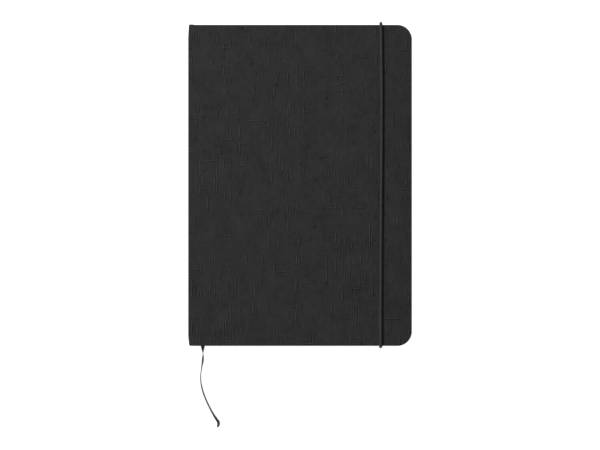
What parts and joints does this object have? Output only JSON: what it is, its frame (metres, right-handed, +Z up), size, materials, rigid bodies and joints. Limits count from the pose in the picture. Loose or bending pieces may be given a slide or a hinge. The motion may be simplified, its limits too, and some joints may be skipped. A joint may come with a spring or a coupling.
{
  "type": "hardback notebook",
  "caption": "Closed cloth-covered hardback notebook with rounded fore corners, a round elastic closing band and a ribbon marker.",
  "frame": {"origin": "on the table, under the middle of the closed cover", "axes": "+X from the spine to the fore edge, +Y from the tail to the head, +Z up from the back cover"},
  "size_m": [0.147, 0.268, 0.0177],
  "materials": {
    "book_cloth": "matt black linen-weave book cloth",
    "elastic_cord": "round braided black elastic",
    "ribbon_satin": "narrow black satin ribbon",
    "band_cloth": "dark woven end band",
    "page_paper": "ivory writing paper, cut edges",
    "endpaper": "smooth ivory endpaper",
    "lining_paper": "brown lining paper",
    "grey_board": "solid grey board"
  },
  "bodies": {
    "block": {"page_block": "page_paper", "spine_lining": "lining_paper", "head_band": "band_cloth", "tail_band": "band_cloth", "ribbon_in_pages": "ribbon_satin", "ribbon_tail": "ribbon_satin", "front_flyleaf": "endpaper", "back_flyleaf": "endpaper", "spine_strip": "grey_board", "spine_cloth": "book_cloth", "front_joint_cloth": "book_cloth", "back_joint_cloth": "book_cloth"},
    "front_cover": {"front_board": "grey_board", "front_cloth": "book_cloth", "front_pastedown": "endpaper"},
    "back_cover": {"back_board": "grey_board", "back_cloth": "book_cloth", "back_pastedown": "endpaper"},
    "band": {"elastic_band": "elastic_cord"}
  },
  "joints": [
    {"name": "front_cover_hinge", "type": "hinge", "parent": "block", "child": "front_cover", "pos_m": [-0.0737, 0, 0.01325], "axis": [0, -1, 0], "range_deg": [0, 179.5], "deforming": ["front_joint_cloth"]},
    {"name": "back_cover_hinge", "type": "hinge", "parent": "block", "child": "back_cover", "pos_m": [-0.0737, 0, 0.00235], "axis": [0, 1, 0], "range_deg": [0, 179.5], "deforming": ["back_joint_cloth"]},
    {"name": "band_release", "type": "slide", "parent": "back_cover", "child": "band", "axis": [1, 0, 0], "range_m": [0, 0.0262], "deforming": ["elastic_band"]}
  ],
  "couplings": [
    {"joint": "band_release", "follows": "front_cover_hinge", "m_per_rad": 0.0083}
  ]
}
